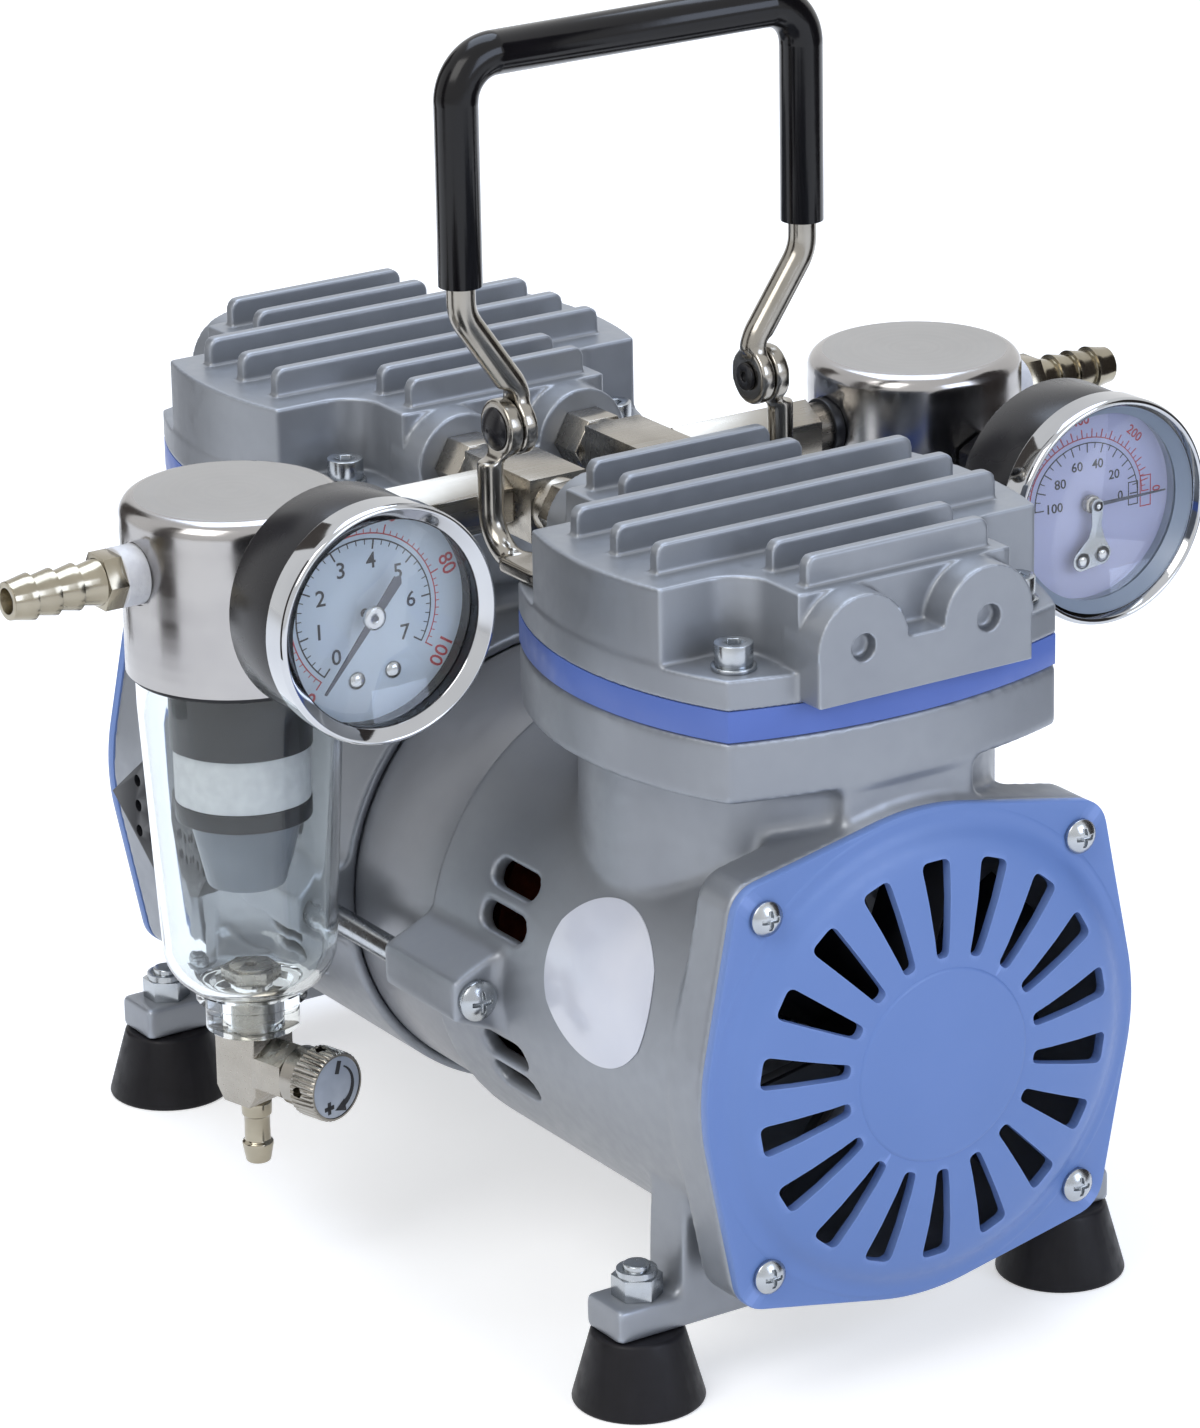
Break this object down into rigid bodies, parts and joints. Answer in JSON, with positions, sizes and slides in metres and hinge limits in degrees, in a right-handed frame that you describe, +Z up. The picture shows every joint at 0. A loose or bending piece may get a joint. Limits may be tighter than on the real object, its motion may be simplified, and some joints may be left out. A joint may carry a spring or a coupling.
{
  "type": "vacuum pump",
  "caption": "Oil-free rocking-piston vacuum pump with finned heads, water-trap bowls, gauges, rubber feet and a folding carrying handle",
  "frame": {"origin": "on the floor, midway between the four feet, under the middle of the motor", "axes": "X along the motor shaft with the end in front in the picture at +X; Y from the pressure side at -Y to the vacuum side at +Y; Z up"},
  "size_m": [0.281, 0.302, 0.291],
  "materials": {
    "silver_paint": "satin silver enamel on die-cast aluminium",
    "blue_cover": "satin moulded plastic",
    "blue_plate": "satin paint on a machined plate",
    "shell_steel": "rolled and painted steel",
    "label_film": "satin printed film",
    "oval_film": "satin film",
    "lamination": "stacked electrical steel",
    "copper_wire": "enamelled copper wire",
    "machined_steel": "turned and ground",
    "zinc_screws": "zinc plated",
    "rod_cast": "die-cast",
    "seal_ptfe": "filled PTFE",
    "sleeve_metal": "hard anodised and honed",
    "rubber_black": "moulded rubber",
    "vinyl_black": "glossy soft vinyl",
    "nickel_plate": "satin nickel plate on brass",
    "nickel_steel": "nickel plated steel rod",
    "cap_chrome": "polished, turned top",
    "clear_bowl": "clear moulded polycarbonate",
    "filter_white": "sintered porous plastic",
    "dark_plastic": "moulded plastic",
    "black_case": "gloss black paint on steel",
    "bezel_chrome": "polished chrome",
    "lens_clear": "clear plastic",
    "dial_white": "printed dial, plain numbers",
    "pointer_dark": "painted",
    "tape_white": "thread tape"
  },
  "bodies": {
    "housing": {"near_crankcase": "silver_paint", "far_crankcase": "silver_paint", "motor_shell": "shell_steel", "label_band": "label_film", "stator_core": "lamination", "windings": "copper_wire", "shaft_bearings": "machined_steel", "cylinder_sleeves": "sleeve_metal", "valve_plates": "blue_plate", "reed_valves": "machined_steel", "near_head": "silver_paint", "far_head": "silver_paint", "head_screws": "zinc_screws", "head_washers": "zinc_screws", "near_fan_cover": "blue_cover", "far_fan_cover": "blue_cover", "cover_screws": "zinc_screws", "tie_rods": "zinc_screws", "tie_rod_nuts": "zinc_screws", "rubber_feet": "rubber_black", "foot_studs": "zinc_screws", "foot_nuts": "zinc_screws", "handle_rivets": "black_case", "handle_brackets": "nickel_steel", "manifold_bars": "nickel_plate", "hex_nipples": "nickel_plate", "cross_bars": "nickel_plate", "seal_rings": "rubber_black", "filter_caps": "cap_chrome", "filter_bowls": "clear_bowl", "filter_holders": "dark_plastic", "filter_elements": "filter_white", "filter_baffles": "dark_plastic", "drain_bodies": "nickel_plate", "drain_barbs": "nickel_plate", "hose_barbs": "nickel_plate", "thread_tape": "tape_white", "gauge_cases": "black_case", "gauge_bezels": "bezel_chrome", "gauge_lenses": "lens_clear", "gauge_dials": "dial_white", "gauge_links": "zinc_screws", "bourdon_tubes": "nickel_plate", "side_label": "oval_film", "vent_cover": "dark_plastic", "cord_gland": "dark_plastic"},
    "rotor": {"shaft": "machined_steel", "rotor_core": "lamination", "eccentrics": "machined_steel", "fans": "dark_plastic"},
    "rod_near": {"connecting_rod_near": "rod_cast", "piston_seal_near": "seal_ptfe"},
    "rod_far": {"connecting_rod_far": "rod_cast", "piston_seal_far": "seal_ptfe"},
    "handle": {"handle_rod": "nickel_steel", "handle_grip": "vinyl_black"},
    "pressure_needle": {"pressure_pointer": "pointer_dark"},
    "vacuum_needle": {"vacuum_pointer": "pointer_dark"},
    "left_knob": {"drain_knob_left": "nickel_plate"},
    "right_knob": {"drain_knob_right": "nickel_plate"}
  },
  "joints": [
    {"name": "shaft_spin", "type": "hinge", "parent": "housing", "child": "rotor", "pos_m": [0, 0, 0.0773], "axis": [1, 0, 0], "continuous": true},
    {"name": "rod_near_turn", "type": "hinge", "parent": "rotor", "child": "rod_near", "pos_m": [0.0805, 0, 0.0813], "axis": [1, 0, 0], "continuous": true, "deforming": ["piston_seal_near"]},
    {"name": "rod_far_turn", "type": "hinge", "parent": "rotor", "child": "rod_far", "pos_m": [-0.0805, 0, 0.0733], "axis": [1, 0, 0], "continuous": true, "deforming": ["piston_seal_far"]},
    {"name": "handle_fold", "type": "hinge", "parent": "housing", "child": "handle", "pos_m": [0.022, 0, 0.2], "axis": [0, 1, 0], "range_deg": [-90, 90]},
    {"name": "pressure_read", "type": "hinge", "parent": "housing", "child": "pressure_needle", "pos_m": [0.0607, -0.0945, 0.178], "axis": [-1, 0, 0], "range_deg": [0, 263]},
    {"name": "vacuum_read", "type": "hinge", "parent": "housing", "child": "vacuum_needle", "pos_m": [0.068, 0.0945, 0.169], "axis": [1, 0, 0], "range_deg": [0, 180]},
    {"name": "left_drain_turn", "type": "hinge", "parent": "housing", "child": "left_knob", "pos_m": [0.012, -0.09029, 0.0533], "axis": [0.9659, 0.2588, 0], "range_deg": [0, 270]},
    {"name": "right_drain_turn", "type": "hinge", "parent": "housing", "child": "right_knob", "pos_m": [0.012, 0.09029, 0.0533], "axis": [0.9659, -0.2588, 0], "range_deg": [0, 270]}
  ],
  "couplings": [
    {"joint": "rod_near_turn", "follows": "shaft_spin", "ratio": -1},
    {"joint": "rod_far_turn", "follows": "shaft_spin", "ratio": -1}
  ]
}
